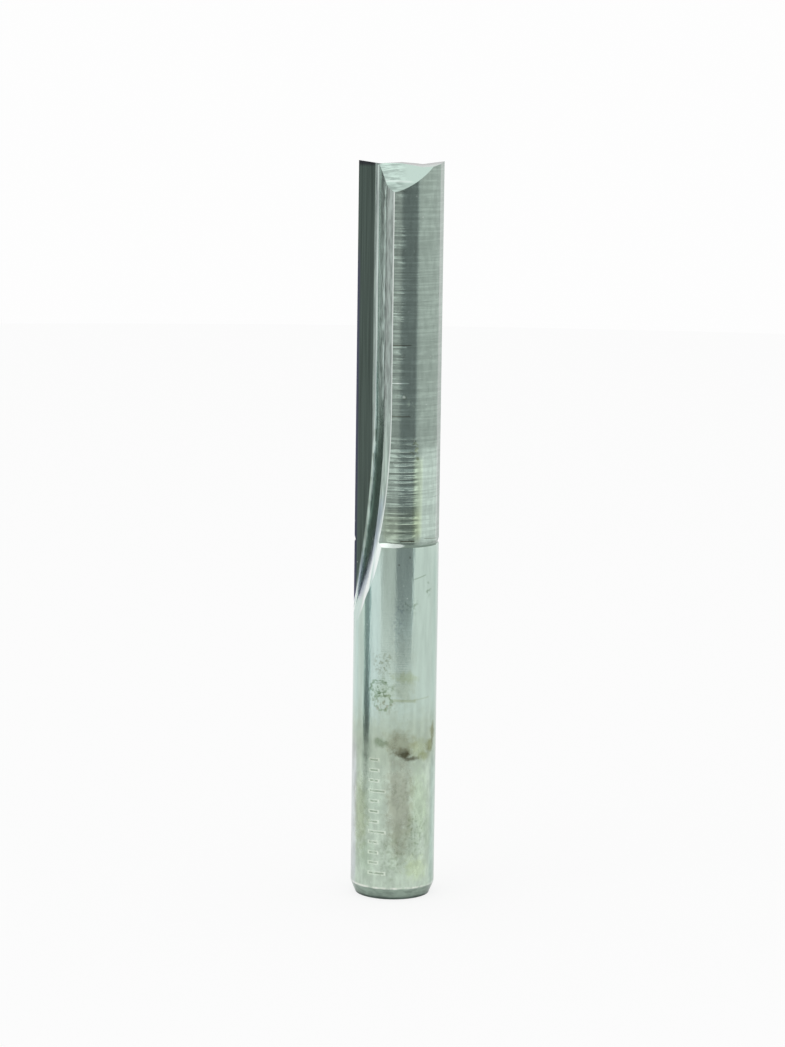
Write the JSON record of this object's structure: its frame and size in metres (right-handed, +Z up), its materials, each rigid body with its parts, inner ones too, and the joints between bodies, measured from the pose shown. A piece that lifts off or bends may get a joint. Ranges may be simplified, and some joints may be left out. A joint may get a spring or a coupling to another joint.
{
  "type": "router bit",
  "caption": "Straight router bit ground from one solid carbide rod, with open straight flutes, relieved lands, a dished end and a plain round shank.",
  "frame": {"origin": "centre of the shank's flat end face, on the tool's axis, where the bit stands", "axes": "+Z up the tool's axis from the shank's end to the cutting end; +X from the axis to the second tooth's cutting edge, so the flute of the first tooth opens towards -Y on the -X side"},
  "size_m": [0.008, 0.008, 0.07],
  "materials": {
    "carbide": "ground and lightly stained from use"
  },
  "bodies": {
    "root": {"router_bit": "carbide"}
  },
  "joints": []
}
